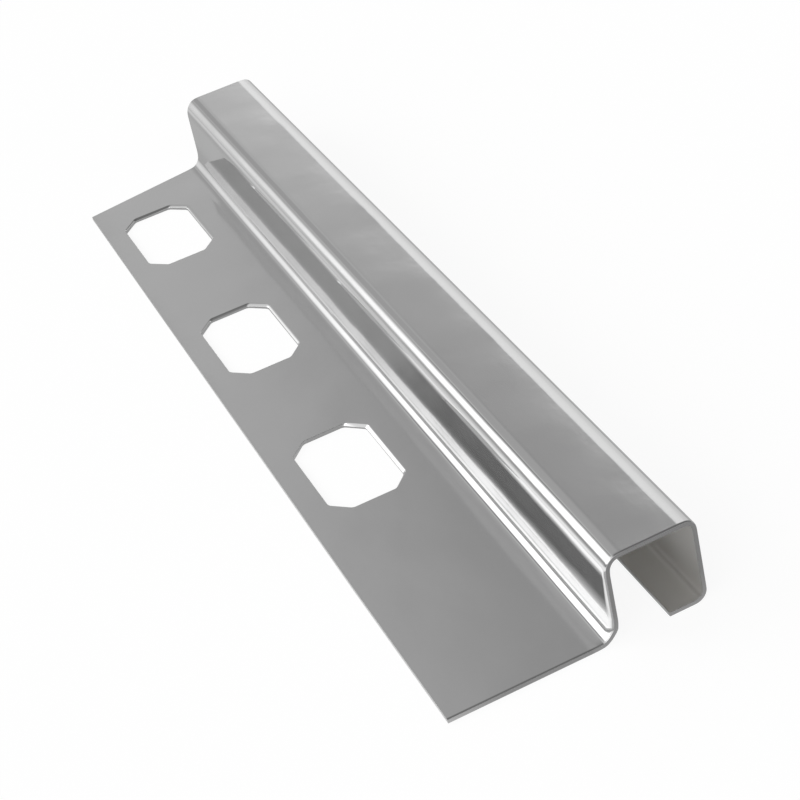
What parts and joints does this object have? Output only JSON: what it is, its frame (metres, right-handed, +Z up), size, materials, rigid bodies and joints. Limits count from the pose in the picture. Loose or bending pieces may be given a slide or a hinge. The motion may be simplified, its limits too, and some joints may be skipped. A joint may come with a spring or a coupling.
{
  "type": "tile edge trim",
  "caption": "Square-edge tile trim: one stainless-steel strip bent into a box-shaped visible edge, with a flat punched anchoring flange and a short return lip.",
  "frame": {"origin": "on the floor, at the middle of the trim's whole outline", "axes": "+X across the trim, from the flange's free edge to the outer web; +Y along it, towards the end that the holes are near; +Z up"},
  "size_m": [0.0274, 0.118, 0.01],
  "materials": {
    "polished_stainless": "polished"
  },
  "bodies": {
    "root": {"edge_trim": "polished_stainless"}
  },
  "joints": []
}
